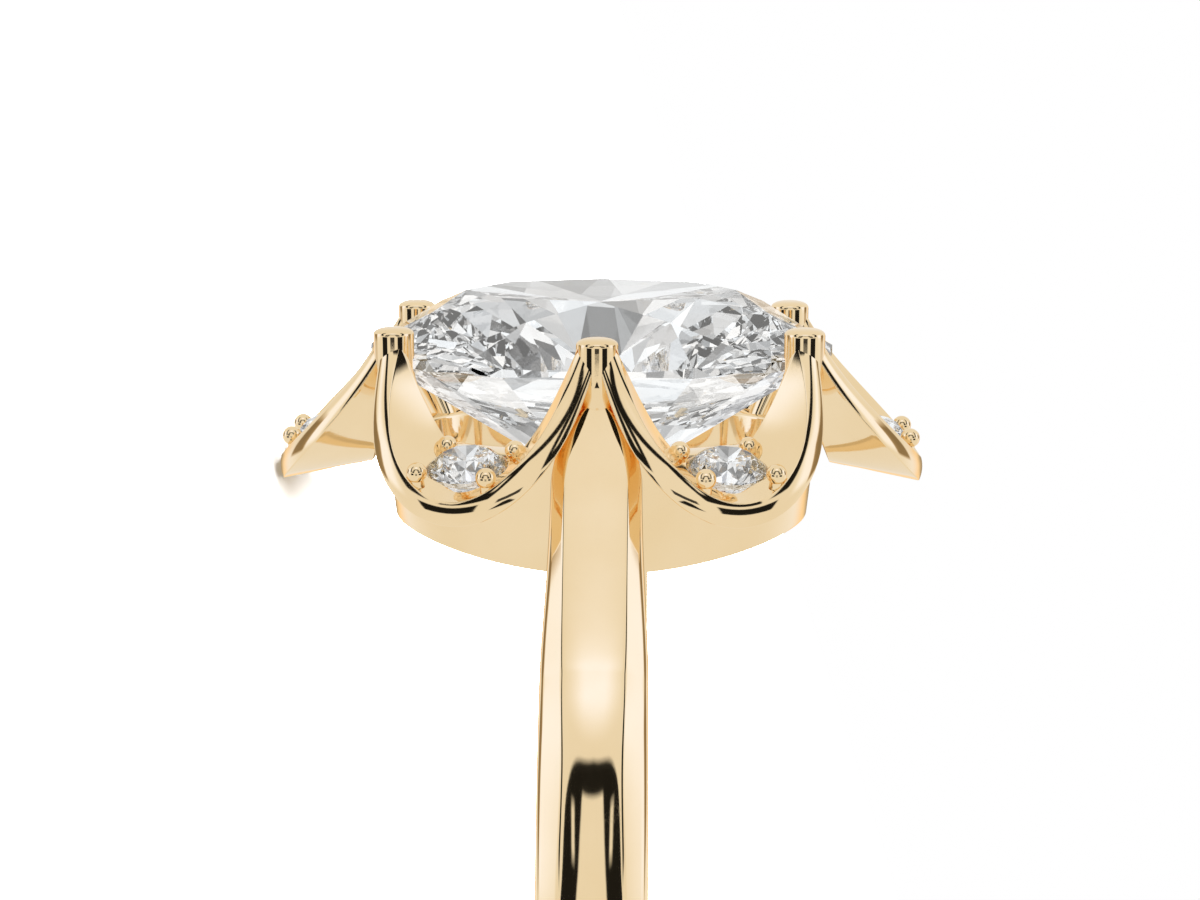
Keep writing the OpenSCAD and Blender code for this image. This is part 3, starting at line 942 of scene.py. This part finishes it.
# %% [markdown]
# The dark thing in a tent is the stand in front of its opening. The band's round face draws it as a
# black arch with two legs, each with a slit. Lower down stand its two feet, which the posts and the
# petals' rims show as stripes, and between them a pointed sill and the lens. Two cards lean beside
# the stand, and give the band's creases their lines. Far aside, the frame of the tent's opening
# draws the outlines.

# %% The dark stand
ARCH_TOP, ARCH_HALF, SECOND_IMAGE = 47.5, 47, 0.25
outer_line = ARCH_TOP - aside * 0.06 - (aside / ARCH_HALF) ** 6.0 * 50
doorway = (25.8 - above * 0.27 - aside).remap(-1, 1) * (38.8 - above).remap(-1, 1)
slit = patch(aside, 28, 2) * patch(above, 27.5, 6.5, (-2, 2))
arch = (outer_line - above).remap(-1, 1) * (1 - doorway) * (1 - slit) * (above - 7).remap(-1, 1)
feet = patch(aside, 43.5, 14.5) * patch(above, -8.6, 8.2)
sill = (above * -1.17 - 11 - aside).remap(-1, 1) * patch(above, -17, 4.5)
lens = (12 - aside).remap(-1, 1) * patch(above, -5.45, 3.3, (-0.12, 0.12))
cards = patch(aside - above * 0.55, 50, 8, (-1.5, 1.5)) * patch(above, 38, 27, (-1.5, 1.5))
frame_edge = patch(aside, 110, 12, (-2, 2)) * patch(above, 4, 12, (-2, 2))
dark = at_least(at_least(arch, at_least(feet, sill)), at_least(lens * 0.95, frame_edge * 0.7))
# Only a first reflection shows it: a mirror image of a mirror image would clutter the undersides
rays = net.node("ShaderNodeLightPath")
dark = at_least(dark * rays.out("Glossy Depth").remap(1, 2, 1, SECOND_IMAGE), cards)
print("with the stand:", len(world.node_tree.nodes), "nodes")

# %% [markdown]
# Against the dark stand work the lights. Where they are brightest the light is cool, so that the
# gold's highlights turn to cream. Low behind the ring the tent is dimmer, which gives round pieces a
# thin darker outline. The frame far aside and the cards low behind are warm, because metal seen at a
# glancing angle loses its own colour and would show a cold white edge.

# %% The lights
DAY, COOL_LIGHT, WARM_CARDS = (1, 0.99, 0.97, 1), (0.88, 0.97, 1.26, 1), (1, 0.76, 0.46, 1)
DAY_LEVEL, LAMP_LEVEL, STAND_DEPTH, DIM_DEPTH = 0.89, 0.36, 0.985, 0.6
lamp = patch(above, 65, 13, (-2, 12), soft=True) * (35 - aside).remap(-12, 22, soft=True)
windows = patch(aside, 90, 17, (-4, 10), soft=True) * patch(above, 14, 22, (-4, 10), soft=True)
behind = aside.remap(80, 140, soft=True) * (0 - above).remap(-6, 6) * (above + 30).remap(-6, 6)
glow = at_least(at_least(lamp, windows * 0.9), behind * 0.5)
dim = (aside - 150).remap(-10, 10, soft=True) * patch(above, -10.5, 5.5, (-2, 2))
warm_edge = at_least(frame_edge, aside.remap(120, 150, soft=True) * patch(above, -14, 16, (-3, 3)))
daylight = blend(warm_edge, blend(glow, DAY, COOL_LIGHT), WARM_CARDS)
brightness = (DAY_LEVEL + glow * LAMP_LEVEL) * (1 - dark * STAND_DEPTH) * (1 - dim * DIM_DEPTH)
metal_room = net.node("ShaderNodeBackground", None, {"Color": daylight, "Strength": brightness})
print("with the lights:", len(world.node_tree.nodes), "nodes")

# %% [markdown]
# A stone throws light about in narrow beams, so rays that leave it see a room of their own: grey
# cards in sharp-edged fields, as a tent's folds show through many facets, and a trace of colour. The
# camera itself sees plain white.

# %% The stones' room, and who sees which
COOL_CARD, WARM_CARD = (0.93, 0.97, 1.0, 1), (1.0, 0.985, 0.96, 1)


def panels(scale):
    """Random greys in sharp-edged fields."""
    fields = way.node("ShaderNodeTexVoronoi", None, {"Vector": way, "Scale": scale}, "Color")
    return fields.node("ShaderNodeSeparateColor", None, {"Color": fields}, 0)


small_cards, large_cards = panels(6.0).remap(0.34, 0.56), panels(2.2).remap(0.25, 0.68)
strength = small_cards * 0.62 + large_cards * 0.48 + above.remap(-10, 60) * 0.1
strength = (strength + 0.02) * (1 - arch * 0.7)
hue = blend(noise(way, 3.1, 2.0).remap(0.4, 0.6), COOL_CARD, WARM_CARD)
stone_room = net.node("ShaderNodeBackground", None, {"Color": hue, "Strength": strength})
plain = net.node("ShaderNodeBackground", None, {"Color": (1, 1, 1, 1), "Strength": 1.0})
from_stone, from_camera = rays.out("Is Transmission Ray"), rays.out("Is Camera Ray")
seen = net.node("ShaderNodeMixShader", None, {0: from_stone, 1: metal_room, 2: stone_room})
seen = net.node("ShaderNodeMixShader", None, {0: from_camera, 1: seen, 2: plain})
net.node("ShaderNodeOutputWorld", None, {"Surface": seen})
print("tent:", len(world.node_tree.nodes), "nodes")

# %% [markdown]
# One wide sun, soft as a lit ceiling, makes the floor white and leaves only a faint shadow where the
# ring touches it. The mirrors don't show it.

# %% The soft ceiling
CEILING_POWER, CEILING_WIDTH, CEILING_AIM = 30.0, math.radians(80), Vector((0.15, 0.3, -1))
lamp_data = bpy.data.lights.new("soft_ceiling", "SUN")
lamp_data.energy, lamp_data.angle = CEILING_POWER, CEILING_WIDTH
ceiling = bpy.data.objects.new("soft_ceiling", lamp_data)
bpy.context.scene.collection.objects.link(ceiling)
ceiling.rotation_euler = CEILING_AIM.to_track_quat("-Z", "Y").to_euler()
ceiling.visible_glossy = ceiling.visible_transmission = False
print("the ceiling is", round(math.degrees(lamp_data.angle)), "degrees wide")

# %% [markdown]
# ## Camera
# The picture looks at the upright ring from a little above, from the side of one shoulder. Given in
# the drawing's axes, the camera turns with the ring to the table, and stays above the floor. Light
# turns many times inside a cut stone before it leaves, so a ray may turn more often than usual.

# %% The camera
YAW, PITCH = -0.021, 0.198
STANDS_AT = Vector((0.931, -45.348, 18.969))
FOCAL_PIXELS, PICTURE_PIXELS, SENSOR = 2062.3, 1200, 36.0
forward = Vector((math.sin(YAW) * math.cos(PITCH), math.cos(YAW) * math.cos(PITCH), -math.sin(PITCH)))
rightward = Vector((math.cos(YAW), -math.sin(YAW), 0))
lens_turn = Matrix((rightward, rightward.cross(forward), -forward)).transposed()
rest_turn = TO_REST.to_3x3() * (1 / MM)
camera_data = bpy.data.cameras.new("camera")
camera_data.sensor_width, camera_data.lens = SENSOR, FOCAL_PIXELS * SENSOR / PICTURE_PIXELS
camera_data.clip_start, camera_data.clip_end = 0.001, 10
camera = bpy.data.objects.new("camera", camera_data)
bpy.context.scene.collection.objects.link(camera)
camera.matrix_world = Matrix.Translation(TO_REST @ STANDS_AT) @ (rest_turn @ lens_turn).to_4x4()
bpy.context.scene.camera = camera
bpy.context.scene.view_settings.view_transform = "Standard"
turns = bpy.context.scene.cycles
turns.max_bounces, turns.glossy_bounces, turns.transmission_bounces = 20, 14, 12
print(f"camera {(camera.location.z - floor_z) / MM:.1f} mm above the floor")

# %% Write the sizes and finish
print("solids:", [[round(x / MM, 3) for x in p] for p in solid_box])
